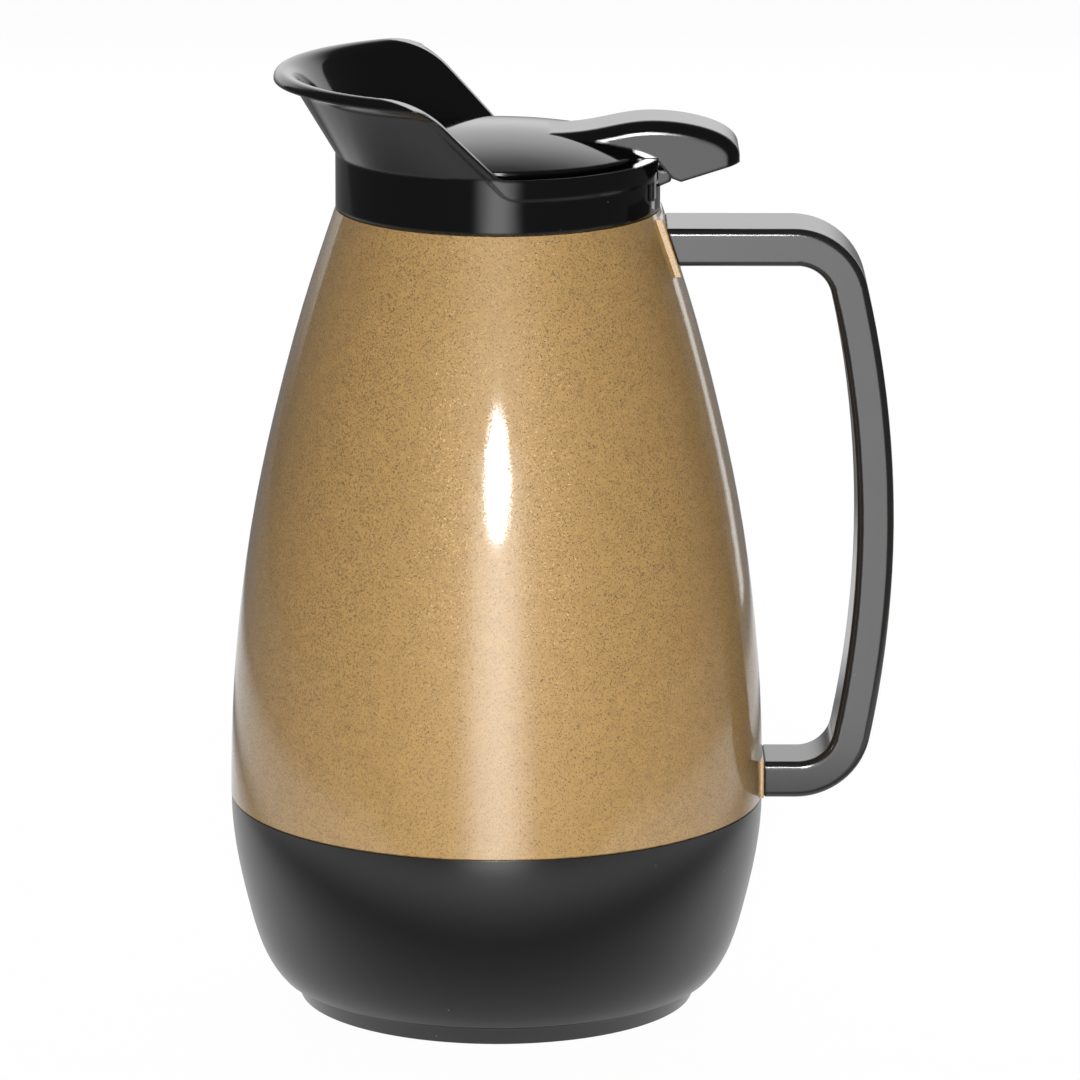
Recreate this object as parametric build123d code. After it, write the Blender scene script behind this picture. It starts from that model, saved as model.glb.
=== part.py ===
from build123d import *
import math
import os

# A foam-insulated thermal carafe with a screw-on pour head and a thumb-lever lid.
# Millimetres. The origin is the centre of the foot on the table, +Z is up,
# +X points to the handle and -X to the spout.

# ---- outside of the body --------------------------------------------------
FOOT_R = 50.5           # foot ring, at the table
FOOT_TOP_R = 52.7       # foot ring, at its top edge
FOOT_H = 4.5
BOWL_LOW_R = 55.7       # lower edge of the bowl, above the foot ring
BOWL_LOW_Z = 5.9
BOWL_MID_R = 63.7
BOWL_MID_Z = 24.0
BODY_R = 68.2           # widest place, at the seam between cup and shell
SEAM_Z = 52.9
BELLY_R = 65.95
BELLY_Z = 98.0
SHOULDER_R = 62.1
SHOULDER_Z = 126.0
TAPER_R = 55.2
TAPER_Z = 158.0
NAPE_R = 48.35
NAPE_Z = 183.0
TOP_R = 41.0
TOP_Z = 205.4           # top of the painted shell
SEAM_STEP = 0.12        # the cup's rim lies this far inside the shell's
SEAM_EDGE = 0.35        # chamfer of the shell's lower edge

# ---- walls and insulation -------------------------------------------------
CUP_WALL = 2.4
CUP_FLOOR = 3.0
FLOOR_ROUND = 1.2       # chamfer between the cup's floor and its wall
FOOT_RECESS = 3.6       # the underside is hollow inside the foot ring
FOOT_RING_WALL = 3.4
SHELL_WALL = 2.0
SHELL_TOP_WALL = 2.0
LAP = 9.0               # the shell reaches this far down inside the cup
LAP_WALL = 1.9
LAP_LEDGE = 2.0         # ledge between the lap and the shell's wall
FILL_HOLE_R = 8.0       # the foam is poured in through this hole
PLUG_HEAD_R = 12.0
PLUG_HEAD_H = 1.4
FOAM = 11.2             # insulation between shell and liner
LINER_WALL = 1.8
LINER_LOW_Z = 18.5
LINER_CORNER = 16.0
NECK_R = TOP_R - 4.5    # outside of the liner's neck
NECK_LOW_Z = TOP_Z - 16.4
NECK_SEAL_WALL = 1.6    # ring between the neck and the shell's top
NECK_SEAL_LIP = 1.4     # its flange, inside the shell
NECK_SEAL_RISE = 0.5
SUPPORT_R = 30.0        # ring that carries the liner on the cup's floor
SUPPORT_WALL = 3.0
SUPPORT_FOOT = 8.0

# ---- clearances -----------------------------------------------------------
SLIP = 0.1              # parts assembled into each other, on one side
FOAM_GAP = 0.15         # foam to its neighbours
TURN_GAP = 0.4          # between the turning head and the body
LIFT_GAP = 0.35         # between the lid and the head
PIN_FIT = 0.02
KNUCKLE_FIT = 0.06

# ---- handle ---------------------------------------------------------------
HANDLE_TOP_W = 24.0             # the handle is widest under the thumb
HANDLE_LOW_W = 19.6
HANDLE_TOP_Z = TOP_Z - 3.7      # upper face of the top arm
HANDLE_LOW_Z = SEAM_Z + 0.4     # lower face of the bottom arm
TOP_ARM = 9.6
BOTTOM_ARM = 9.4
GRIP_OUT_X = BODY_R + 32.45     # furthest reach of the grip
GRIP_T = 9.3
GRIP_MID_Z = 123.4
GRIP_BOW = 275.0                # radius of the bowed grip
CORNER_R = 19.2                 # outer corners of the handle
INNER_CORNER_R = 9.0
HANDLE_EDGE = 1.7
HANDLE_END_EDGE = 0.4           # chamfer round the ends, at the seats
PAD_PROUD = 0.15                # handle seats stand this far out of the shell
PAD_DROP = 2.6                  # the upper seat reaches below its arm
PAD_RISE = 0.3                  # and the lower one above
PAD_SHY = 1.2                   # the upper seat ends this far below the shell's top
PAD_EDGE = 0.4

# ---- handle screws, driven from inside the shell ---------------------------
SCREW_R = 2.0
SCREW_HEAD_R = 3.4
SCREW_HEAD_H = 1.8
SCREW_GRIP = 9.0        # depth that the screw reaches into the handle
WASHER_R = 4.6
WASHER_T = 0.8
BOSS_R = 5.4            # flat seat for the washer, inside the shell
TOP_BOSS_H = 0.8
LOW_BOSS_H = 3.0
TOP_SCREW_RISE = 3.2    # the screw enters this far above the arm's lower face

# ---- pour head ------------------------------------------------------------
COLLAR_R = TOP_R
COLLAR_WALL = 2.4
FLOOR_TOP_Z = TOP_Z + 6.8
FLOOR_T = 2.6
POUR_HOLE_R = COLLAR_R - 14.0
THREAD_SPACE = 1.4      # room for the threads between stem and neck
STEM_WALL = 2.0
STEM_LOW_Z = TOP_Z - 12.4
GASKET_T = 1.8
RING_TOP_Z = TOP_Z + 14.2
BEAD_OUT = 0.8          # the bead round the ring stands this far out
BEAD_H = 5.2
LEAN = 3.0              # the flare's top circle stands this far towards the spout
FLARE_R = COLLAR_R + 7.4        # outside of the flare just under the lip
FLARE_Z = RING_TOP_Z + 16.0
FLARE_WALL = 2.2
LIP_R = FLARE_R + 5.4
LIP_Z = FLARE_Z + 5.0   # top of the lip
LIP_T = 2.4
LIP_ROUND = 2.5         # width of the lip's rounded top
SIDE_BEAD = 1.3         # the bead stands this far out of the sloping edges
SIDE_BEAD_DROP = 3.0    # height of the bead, measured straight down
SHOULDER_X = -20.0      # the level rim turns down into the sloping sides here
SHOULDER_ROUND = 24.0
SIDE_END_X = 0.3        # and they meet the ring here
SIDE_END_ROUND = 4.0
BEAD_TAPER = 2.0        # the bead narrows through the shoulder's bend

# ---- hinge ----------------------------------------------------------------
PIN_X = COLLAR_R - 4.6
PIN_Z = RING_TOP_Z - 3.6
PIN_R = 1.5
EAR_R = 3.3
EAR_IN_Y = 11.3
EAR_W = 4.0
EAR_SKIN = 0.8          # closed end of the near ear
KNUCKLE_R = 3.0
NOTCH_GAP = 0.5
STOP_OUT = 2.6          # the tongue behind the ring stands this far out
STOP_W = 15.0
STOP_H = 4.4
STOP_EDGE = 1.0
STOP_SLOPE = 0.42       # rise of its underside per millimetre outwards

# ---- lid ------------------------------------------------------------------
CAP_R = COLLAR_R - COLLAR_WALL - 0.5
CAP_REAR_X = 33.8       # the cap is cut off here, in front of the hinge
CAP_TOP_Z = RING_TOP_Z + 6.6
CAP_FALL = 5.2          # drop of the dome from its middle to its edge
CAP_EDGE = 0.3
CAP_WALL = 1.8
SKIRT_R = CAP_R - 4.7
SKIRT_DROP = 2.4
LEVER_WALL = 2.0
LEVER_EDGE = 3.4
LEVER_SIDE_GAP = 0.4    # between the lever's sides and the ears
LEVER_ROOT_X = 13.0
LEVER_CREST_X = PIN_X + 3.3
LEVER_CREST_RISE = 2.6  # crest above the middle of the dome
LEVER_TIP_X = PIN_X + 24.4
LEVER_TIP_Z = RING_TOP_Z - 1.2
LEVER_NOSE_LEAN = 0.05  # rounded end of the lever: how far it leans back
LEVER_NOSE_H = 2.0      # and its height
LEVER_CORNER_X = PIN_X + 9.6
LEVER_CORNER_Z = RING_TOP_Z - 5.95
LEVER_HEEL_X = PIN_X + 7.2
LEVER_HEEL_Z = RING_TOP_Z - 5.05
LEVER_REAR_X = PIN_X + 3.4
LEVER_REAR_Z = RING_TOP_Z - 0.55
LEVER_UNDER_RISE = 0.9  # underside above the ring, where the lever meets the cap
KNUCKLE_NECK = 2.5      # the knuckles' plates reach this far above the ring

# ---- lid plug and seals ----------------------------------------------------
PLUG_GAP = 1.4          # between the plug's nose and the pour hole
PLUG_TAPER = 1.4
PLUG_LEAD = 3.0         # height of the tapered nose
PLUG_DEPTH = 5.2        # the nose reaches this far below the top of the floor
PLUG_WALL = 1.8
SEAL_LAND = 4.0         # the seal lies on this much of the floor
SEAL_T = 1.8


# ---- drawing helpers ------------------------------------------------------
def at(r, z):
    """A point of an upright section: distance from the axis, and height."""
    return (r, 0, z)


def line(*points):
    return Polyline(*[at(r, z) for r, z in points])


def curve(points, start, end):
    """A smooth outline through a few points, with the directions of its two ends."""
    return Spline(*[at(r, z) for r, z in points], tangents=(at(*start), at(*end)))


def filled(*pieces):
    """The flat face inside a closed run of lines and curves."""
    return Face(Wire([edge for piece in pieces for edge in piece.edges()]))


def turned(*pieces):
    """A solid of revolution about the vertical axis."""
    return revolve(filled(*pieces), Axis.Z)


def slab(face, half_width):
    """An upright outline given the same thickness on both sides of the middle."""
    return extrude(face, half_width, both=True)


def radius_at(outline, z):
    """Radius of an upright outline at a height, found by halving."""
    low, high = 0.0, 1.0
    for _ in range(30):
        middle = (low + high) / 2
        if (outline @ middle).Z < z:
            low = middle
        else:
            high = middle
    return (outline @ low).X


def slope_at(outline, z):
    return radius_at(outline, z + 0.5) - radius_at(outline, z - 0.5)


def inset(outline, depth, heights):
    """Points that lie a wall's depth inside an outline, measured square to it."""
    return [
        (radius_at(outline, z) - depth * math.hypot(1, slope_at(outline, z)), z)
        for z in heights
    ]


def spread(low, high, count):
    return [low + (high - low) * i / (count - 1) for i in range(count)]


def parallel(outline, depth, heights):
    """Short straight runs inside an outline at an even depth, through some heights."""
    return line(*inset(outline, depth, heights))


def start_of(edge):
    return ((edge @ 0).X, (edge @ 0).Z)


def end_of(edge):
    return ((edge @ 1).X, (edge @ 1).Z)


# ---- outlines that several parts share ------------------------------------
BOWL = curve(
    [(BOWL_LOW_R, BOWL_LOW_Z), (BOWL_MID_R, BOWL_MID_Z), (BODY_R - SEAM_STEP, SEAM_Z)],
    (0.95, 1.0),
    (0.0, 1.0),
)
BODY = curve(
    [
        (BODY_R, SEAM_Z),
        (BELLY_R, BELLY_Z),
        (SHOULDER_R, SHOULDER_Z),
        (TAPER_R, TAPER_Z),
        (NAPE_R, NAPE_Z),
        (TOP_R, TOP_Z),
    ],
    (0.0, 1.0),
    (-0.33, 1.0),
)

CUP_FLOOR_Z = FOOT_RECESS + CUP_FLOOR
LEDGE_Z = SEAM_Z + LAP_LEDGE
SHELL_BORE_R = NECK_R + NECK_SEAL_WALL
FLOOR_LOW_Z = FLOOR_TOP_Z - FLOOR_T
NECK_TOP_Z = FLOOR_LOW_Z - GASKET_T - 2 * SLIP
NECK_BORE_R = NECK_R - LINER_WALL
STEM_R = NECK_BORE_R - THREAD_SPACE
COLLAR_IN_R = COLLAR_R - COLLAR_WALL
COLLAR_LOW_Z = TOP_Z + TURN_GAP
BEAD_R = COLLAR_R + BEAD_OUT
ARM_LOW_Z = HANDLE_TOP_Z - TOP_ARM
LOW_ARM_TOP_Z = HANDLE_LOW_Z + BOTTOM_ARM
LOW_SEAT_X = BODY_R + PAD_PROUD
SEAL_LOW_Z = FLOOR_TOP_Z + LIFT_GAP
CAP_LOW_Z = RING_TOP_Z + LIFT_GAP
SKIRT_IN_R = SKIRT_R - CAP_WALL
LEVER_W = 2 * (EAR_IN_Y - LEVER_SIDE_GAP)
PLUG_R = POUR_HOLE_R - PLUG_GAP


def top_seat_x(z):
    """The upper seat is a flat plane that leans with the shell."""
    low_z = ARM_LOW_Z - PAD_DROP
    low_x = radius_at(BODY, low_z) + PAD_PROUD
    high_x = TOP_R + PAD_PROUD
    return low_x + (high_x - low_x) * (z - low_z) / (TOP_Z - low_z)


def screw_places():
    """Seat point, axis and boss height of each handle screw."""
    top_z = ARM_LOW_Z + TOP_SCREW_RISE
    lean = top_seat_x(top_z + 1) - top_seat_x(top_z)
    low_z = HANDLE_LOW_Z + BOTTOM_ARM / 2
    upper = Plane(origin=at(top_seat_x(top_z), top_z), x_dir=(0, 1, 0), z_dir=at(1, -lean))
    lower = Plane(origin=at(LOW_SEAT_X, low_z), x_dir=(0, 1, 0), z_dir=at(1, 0))
    return [(upper, TOP_BOSS_H), (lower, LOW_BOSS_H)]


def rod(plane, radius, start, end):
    """A round bar along a plane's axis, between two distances from its origin."""
    bar = Cylinder(radius, end - start, align=(Align.CENTER, Align.CENTER, Align.MIN))
    return plane * Pos(0, 0, start) * bar


# ---- base cup -------------------------------------------------------------
def cup_heights():
    """Heights that shape the cup's inner wall, from its floor to the lap."""
    return spread(CUP_FLOOR_Z + FLOOR_ROUND, SEAM_Z - LAP, 6)


def lap_heights():
    return spread(SEAM_Z - LAP, SEAM_Z, 4)


def base_cup():
    foot_in_r = FOOT_R - FOOT_RING_WALL
    inner = parallel(BOWL, CUP_WALL, cup_heights() + lap_heights()[1:])
    floor_r = start_of(inner)[0] - FLOOR_ROUND
    outside = line(
        (0, FOOT_RECESS),
        (foot_in_r, FOOT_RECESS),
        (foot_in_r, 0),
        (FOOT_R, 0),
        (FOOT_TOP_R, FOOT_H),
        (BOWL_LOW_R, BOWL_LOW_Z),
    )
    rim = line(end_of(BOWL), end_of(inner))
    floor = line(start_of(inner), (floor_r, CUP_FLOOR_Z), (0, CUP_FLOOR_Z), (0, FOOT_RECESS))
    cup = turned(outside, BOWL, rim, inner, floor)
    hole = Pos(0, 0, FOOT_RECESS) * Cylinder(FILL_HOLE_R, 3 * CUP_FLOOR)
    return cup - hole


def base_plug():
    stem = Cylinder(FILL_HOLE_R - SLIP, CUP_FLOOR, align=(Align.CENTER, Align.CENTER, Align.MIN))
    head = Cylinder(PLUG_HEAD_R, PLUG_HEAD_H, align=(Align.CENTER, Align.CENTER, Align.MAX))
    return Pos(0, 0, FOOT_RECESS) * (stem + head)


# ---- painted shell --------------------------------------------------------
def lap(depth, heights):
    """Wall of the lap joint inside the cup; depth 0 is its outer face."""
    return parallel(BOWL, CUP_WALL + SLIP + depth, heights)


def shell_inside(gap):
    """Inner wall of the shell, from the ledge over the lap up to the top wall."""
    heights = spread(LEDGE_Z + gap, TOP_Z - SHELL_TOP_WALL - gap, 9)
    return parallel(BODY, SHELL_WALL + gap, heights)


def half_width(z):
    """The handle tapers from its upper to its lower face."""
    share = (z - HANDLE_LOW_Z) / (HANDLE_TOP_Z - HANDLE_LOW_Z)
    return (HANDLE_LOW_W + (HANDLE_TOP_W - HANDLE_LOW_W) * share) / 2


def seat(z_low, z_high, front):
    """A block behind a handle seat; front gives its face's distance at a height."""
    back = BODY_R * 0.5
    outline = line(
        (back, z_low),
        (front(z_low), z_low),
        (front(z_high), z_high),
        (back, z_high),
        (back, z_low),
    )
    pad = slab(filled(outline), half_width((z_low + z_high) / 2))
    front_edges = pad.edges().filter_by(GeomType.LINE).sort_by(Axis.X)[-4:]
    return fillet(front_edges, PAD_EDGE)


def outer_shell():
    outer_lap = lap(0, lap_heights())
    inner_lap = lap(LAP_WALL, lap_heights())
    inner = shell_inside(0)
    top_low = end_of(inner)
    top = line((TOP_R, TOP_Z), (SHELL_BORE_R, TOP_Z), (SHELL_BORE_R, top_low[1]), top_low)
    ledge = line(start_of(inner), (end_of(inner_lap)[0], LEDGE_Z), end_of(inner_lap))
    foot = line(start_of(inner_lap), start_of(outer_lap))
    step = line(end_of(outer_lap), (BODY_R, SEAM_Z))
    shell = turned(BODY, top, inner, ledge, inner_lap, foot, outer_lap, step)
    rim = [e for e in shell.edges() if abs(e.bounding_box().max.X - BODY_R) < 0.01]
    shell = chamfer([e for e in rim if abs((e @ 0).Z - SEAM_Z) < 0.01], SEAM_EDGE)

    upper = seat(ARM_LOW_Z - PAD_DROP, TOP_Z - PAD_SHY, top_seat_x)
    lower = seat(HANDLE_LOW_Z, LOW_ARM_TOP_Z + PAD_RISE, lambda z: LOW_SEAT_X)
    core_z = (SEAM_Z + SLIP, TOP_Z - SHELL_TOP_WALL / 2)
    middle = parallel(BODY, SHELL_WALL / 2, spread(*core_z, 9))
    axis = line(end_of(middle), (0, core_z[1]), (0, core_z[0]), start_of(middle))
    core = turned(middle, axis)
    shell = shell + (upper - core) + (lower - core)

    for plane, boss in screw_places():
        reach = PAD_PROUD + SHELL_WALL + boss
        shell = shell + rod(plane, BOSS_R, -reach, -PAD_PROUD - SHELL_WALL / 2)
    for plane, boss in screw_places():
        shell = shell - rod(plane, SCREW_R + SLIP, -3 * SHELL_WALL - boss, SHELL_WALL)
    return shell


# ---- liner, insulation and what holds them --------------------------------
def bottle(shrink, low_z, top_z):
    """A bottle that follows the shell inside the foam, with a straight neck."""
    depth = SHELL_WALL + FOAM
    low = inset(BOWL, depth, [LINER_LOW_Z, (LINER_LOW_Z + SEAM_Z) / 2])
    high = inset(BODY, depth, [SEAM_Z, BELLY_Z, SHOULDER_Z, TAPER_Z])
    side = low + high + [(NECK_R, NECK_LOW_Z), (NECK_R, top_z)]
    side = [(r - shrink, z) for r, z in side]
    side[0] = (side[0][0], low_z)
    solid = turned(line(*side, (0, top_z), (0, low_z), side[0]))
    bottom = solid.edges().filter_by(GeomType.CIRCLE).sort_by(Axis.Z)[0]
    return fillet(bottom, LINER_CORNER - shrink)


def liner():
    outside = bottle(0, LINER_LOW_Z, NECK_TOP_Z)
    return outside - bottle(LINER_WALL, LINER_LOW_Z + LINER_WALL, NECK_TOP_Z + LINER_WALL)


def liner_support():
    in_r = SUPPORT_R - SUPPORT_WALL
    section = line(
        (in_r, CUP_FLOOR_Z),
        (SUPPORT_R + SUPPORT_FOOT, CUP_FLOOR_Z),
        (SUPPORT_R + SUPPORT_FOOT, CUP_FLOOR_Z + SUPPORT_WALL),
        (SUPPORT_R, CUP_FLOOR_Z + SUPPORT_WALL),
        (SUPPORT_R, LINER_LOW_Z),
        (in_r, LINER_LOW_Z),
        (in_r, CUP_FLOOR_Z),
    )
    return turned(section)


def neck_seal(gap=0.0):
    """Ring between the shell's top and the neck; gap grows it for the foam's pocket."""
    under_z = TOP_Z - SHELL_TOP_WALL + gap
    low_z = TOP_Z - SHELL_TOP_WALL - NECK_SEAL_LIP - gap
    high_z = TOP_Z + NECK_SEAL_RISE
    in_r = NECK_R + SLIP - gap
    out_r = SHELL_BORE_R - SLIP + gap
    lip_r = SHELL_BORE_R + NECK_SEAL_LIP + gap
    return turned(
        line(
            (in_r, low_z),
            (lip_r, low_z),
            (lip_r, under_z),
            (out_r, under_z),
            (out_r, high_z),
            (in_r, high_z),
            (in_r, low_z),
        )
    )


def foam_insulation():
    gap = FOAM_GAP
    lap_z = SEAM_Z - LAP - gap
    cup = parallel(BOWL, CUP_WALL + gap, cup_heights()[:-1] + [lap_z])
    inner_lap = lap(LAP_WALL + gap, [lap_z] + lap_heights()[1:])
    inner = shell_inside(gap)
    floor_z = CUP_FLOOR_Z + gap
    bottom = line((0, floor_z), (start_of(cup)[0] - FLOOR_ROUND, floor_z), start_of(cup))
    foot = line(end_of(cup), start_of(inner_lap))
    ledge = line(end_of(inner_lap), (end_of(inner_lap)[0], LEDGE_Z + gap), start_of(inner))
    top = line(end_of(inner), (0, end_of(inner)[1]), (0, floor_z))
    foam = turned(bottom, cup, foot, inner_lap, ledge, inner, top)

    foam = foam - bottle(-gap, LINER_LOW_Z - gap, TOP_Z)
    foot_r = SUPPORT_R + SUPPORT_FOOT + gap
    foot_z = (CUP_FLOOR_Z, LINER_LOW_Z)
    foam = foam - turned(
        line(
            (0, foot_z[0]),
            (foot_r, foot_z[0]),
            (foot_r, foot_z[1]),
            (0, foot_z[1]),
            (0, foot_z[0]),
        )
    )
    foam = foam - neck_seal(gap)
    for plane, boss in screw_places():
        reach = PAD_PROUD + SHELL_WALL + boss + WASHER_T + SCREW_HEAD_H + gap
        foam = foam - rod(plane, BOSS_R + gap, -reach, 0)
    return foam


# ---- handle ---------------------------------------------------------------
def grip_x(z, depth):
    """The bowed grip at a height: 0 is its outer face, GRIP_T its inner face."""
    bow = GRIP_BOW - depth
    return GRIP_OUT_X - GRIP_BOW + math.sqrt(bow**2 - (z - GRIP_MID_Z) ** 2)


def handle_outline():
    outer_top = (grip_x(HANDLE_TOP_Z, 0), HANDLE_TOP_Z)
    outer_low = (grip_x(HANDLE_LOW_Z, 0), HANDLE_LOW_Z)
    inner_low = (grip_x(LOW_ARM_TOP_Z, GRIP_T), LOW_ARM_TOP_Z)
    inner_top = (grip_x(ARM_LOW_Z, GRIP_T), ARM_LOW_Z)
    top_end = (top_seat_x(HANDLE_TOP_Z), HANDLE_TOP_Z)
    top_end_low = (top_seat_x(ARM_LOW_Z), ARM_LOW_Z)
    low_end = (LOW_SEAT_X, HANDLE_LOW_Z)
    low_end_top = (LOW_SEAT_X, LOW_ARM_TOP_Z)
    outer_middle = (GRIP_OUT_X, GRIP_MID_Z)
    inner_middle = (GRIP_OUT_X - GRIP_T, GRIP_MID_Z)
    face = filled(
        line(top_end, outer_top),
        ThreePointArc(at(*outer_top), at(*outer_middle), at(*outer_low)),
        line(outer_low, low_end, low_end_top, inner_low),
        ThreePointArc(at(*inner_low), at(*inner_middle), at(*inner_top)),
        line(inner_top, top_end_low, top_end),
    )
    corners = face.vertices().sort_by(Axis.X)[-4:]
    inner_corners = corners.sort_by(Axis.X)[:2]
    outer_corners = corners.sort_by(Axis.X)[2:]
    face = face.fillet_2d(CORNER_R, outer_corners)
    near = [
        v
        for v in face.vertices()
        if min((v.center() - c.center()).length for c in inner_corners) < 0.01
    ]
    return face.fillet_2d(INNER_CORNER_R, near)


def at_seat(point):
    """Whether an edge's middle lies in one of the two seat planes."""
    upper = abs(point.X - top_seat_x(point.Z)) < 0.01
    lower = abs(point.X - LOW_SEAT_X) < 0.01
    return upper or lower


def handle():
    low_z = HANDLE_LOW_Z - BOTTOM_ARM
    high_z = HANDLE_TOP_Z + TOP_ARM
    taper = Polyline(
        (0, half_width(low_z), low_z),
        (0, half_width(high_z), high_z),
        (0, -half_width(high_z), high_z),
        (0, -half_width(low_z), low_z),
        close=True,
    )
    sides = extrude(filled(taper), 2 * GRIP_OUT_X, dir=(1, 0, 0))
    solid = slab(handle_outline(), HANDLE_TOP_W) & sides
    middles = [(edge, edge @ 0.5) for edge in solid.edges()]
    side = [e for e, m in middles if abs(abs(m.Y) - half_width(m.Z)) < 0.01 and not at_seat(m)]
    solid = fillet(side, HANDLE_EDGE)
    solid = chamfer([e for e in solid.edges() if at_seat(e @ 0.5)], HANDLE_END_EDGE)
    for plane, _ in screw_places():
        solid = solid - rod(plane, SCREW_R + PIN_FIT, -SLIP, SCREW_GRIP + SLIP)
    return solid


def handle_screws():
    screws = []
    for plane, boss in screw_places():
        seat_depth = PAD_PROUD + SHELL_WALL + boss + WASHER_T
        shank = rod(plane, SCREW_R, -seat_depth, SCREW_GRIP)
        head = rod(plane, SCREW_HEAD_R, -seat_depth - SCREW_HEAD_H, -seat_depth)
        screws.append(shank + head)
    return Compound(children=screws)


def screw_washers():
    washers = []
    for plane, boss in screw_places():
        face_depth = PAD_PROUD + SHELL_WALL + boss
        disc = rod(plane, WASHER_R, -face_depth - WASHER_T, -face_depth)
        washers.append(disc - rod(plane, SCREW_R + SLIP, -face_depth - 2 * WASHER_T, 0))
    return Compound(children=washers)


# ---- pour head ------------------------------------------------------------
def leaned(solid):
    """Slants what stands above the ring towards the spout."""
    slant = -LEAN / (LIP_Z - RING_TOP_Z)
    matrix = Matrix([[1, 0, slant, -slant * RING_TOP_Z], [0, 1, 0, 0], [0, 0, 1, 0]])
    return solid.transform_geometry(matrix)


def flared_wall():
    """The full flare with its rolled lip, before the sides are cut down."""
    slope = (FLARE_R - COLLAR_R) / (FLARE_Z - RING_TOP_Z)
    foot = (COLLAR_R, RING_TOP_Z)
    top = (FLARE_R, FLARE_Z)
    lip_low = (LIP_R, LIP_Z - LIP_T)
    lip_top = (LIP_R - LIP_ROUND, LIP_Z)
    in_top = (FLARE_R - FLARE_WALL, FLARE_Z)
    in_foot = (COLLAR_R - FLARE_WALL, RING_TOP_Z)
    return turned(
        line(foot, top),
        curve([top, lip_low], (slope, 1), (1, 0.15)),
        TangentArc(at(*lip_top), at(*lip_low), tangent=at(1, 0)),
        curve([lip_top, in_top], (-1, 0), (-slope, -1)),
        line(in_top, in_foot, foot),
    )


def side_line(drop, low_z, high_z):
    """Where the sloping side, lowered by a drop, meets a low and a high level."""
    fall = (LIP_Z - RING_TOP_Z) / (SIDE_END_X - SHOULDER_X)
    high_x = SHOULDER_X + (LIP_Z - drop - high_z) / fall
    low_x = SHOULDER_X + (LIP_Z - drop - low_z) / fall
    return (high_x, high_z), (low_x, low_z)


def rounded_outline(points, rounds):
    """A closed upright outline with some of its corners rounded."""
    face = filled(line(*points, points[0]))
    for corner, radius in rounds:
        spot = Vector(*at(*corner))
        vertex = [v for v in face.vertices() if (v.center() - spot).length < 0.01]
        face = face.fillet_2d(radius, vertex)
    return face


def above_rim():
    """Everything above the rim's side outline, as a cutter."""
    high, low = side_line(0, RING_TOP_Z, LIP_Z)
    far = 2 * LIP_R
    points = [
        (-far, LIP_Z),
        high,
        low,
        (far, RING_TOP_Z),
        (far, LIP_Z + far),
        (-far, LIP_Z + far),
    ]
    face = rounded_outline(points, [(high, SHOULDER_ROUND), (low, SIDE_END_ROUND)])
    return slab(face, far)


def rim_band():
    """The band of the bead that runs along the rim, seen from the side."""
    high, low = side_line(0, RING_TOP_Z, LIP_Z)
    under_high, under_low = side_line(SIDE_BEAD_DROP, RING_TOP_Z - BEAD_H, LIP_Z - LIP_T)
    far = 2 * LIP_R
    points = [
        (-far, LIP_Z),
        high,
        low,
        (far, RING_TOP_Z),
        (far, RING_TOP_Z - BEAD_H),
        under_low,
        under_high,
        (-far, LIP_Z - LIP_T),
    ]
    rounds = [
        (high, SHOULDER_ROUND),
        (low, SIDE_END_ROUND),
        (under_low, SIDE_END_ROUND + BEAD_TAPER),
        (under_high, SHOULDER_ROUND - BEAD_TAPER),
    ]
    return slab(rounded_outline(points, rounds), far)


def rim_bead():
    """Rounded bead along the sloping sides and round the back of the ring."""
    side_r = FLARE_R + SIDE_BEAD
    low_z = RING_TOP_Z - BEAD_H
    inner = (COLLAR_R - FLARE_WALL / 2, RING_TOP_Z)
    outer = (BEAD_R, RING_TOP_Z)
    ring = turned(line(inner, (inner[0], low_z), (BEAD_R, low_z), outer, inner))
    nose = (LIP_R - LIP_ROUND / 2, LIP_Z - LIP_T)
    inside = (FLARE_R - FLARE_WALL / 2, FLARE_Z)
    side = turned(line(outer, (side_r, FLARE_Z), nose, inside, inner, outer))
    return (ring + leaned(side)) & rim_band()


def collar():
    """Ring, floor and threaded stem."""
    stem_in_r = STEM_R - STEM_WALL
    return turned(
        line(
            (COLLAR_R, COLLAR_LOW_Z),
            (COLLAR_R, RING_TOP_Z),
            (COLLAR_IN_R, RING_TOP_Z),
            (COLLAR_IN_R, FLOOR_TOP_Z),
            (POUR_HOLE_R, FLOOR_TOP_Z),
            (POUR_HOLE_R, FLOOR_LOW_Z),
            (stem_in_r, FLOOR_LOW_Z),
            (stem_in_r, STEM_LOW_Z),
            (STEM_R, STEM_LOW_Z),
            (STEM_R, FLOOR_LOW_Z),
            (COLLAR_IN_R, FLOOR_LOW_Z),
            (COLLAR_IN_R, COLLAR_LOW_Z),
            (COLLAR_R, COLLAR_LOW_Z),
        )
    )


def block(x_range, half_width, z_range):
    """A box centred on the middle plane."""
    size = (x_range[1] - x_range[0], 2 * half_width, z_range[1] - z_range[0])
    centre = (sum(x_range) / 2, 0, sum(z_range) / 2)
    return Pos(*centre) * Box(*size)


def across(radius, y_from, y_to, x=PIN_X, z=PIN_Z):
    """A round bar that lies across the lid, along Y."""
    turned_plane = Plane(origin=(x, y_from, z), x_dir=(1, 0, 0), z_dir=(0, 1, 0))
    return rod(turned_plane, radius, 0, y_to - y_from)


def ears():
    """Two lugs on the floor that hold the ends of the hinge pin."""
    out_y = EAR_IN_Y + EAR_W
    lugs = across(EAR_R, -out_y, out_y)
    lugs = lugs + block((PIN_X - EAR_R, PIN_X + EAR_R), out_y, (FLOOR_LOW_Z, PIN_Z))
    lugs = lugs - block((0, 2 * PIN_X), EAR_IN_Y, (FLOOR_TOP_Z, 2 * RING_TOP_Z))
    limit = Cylinder(BEAD_R, RING_TOP_Z, align=(Align.CENTER, Align.CENTER, Align.MIN))
    return lugs & limit


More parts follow.
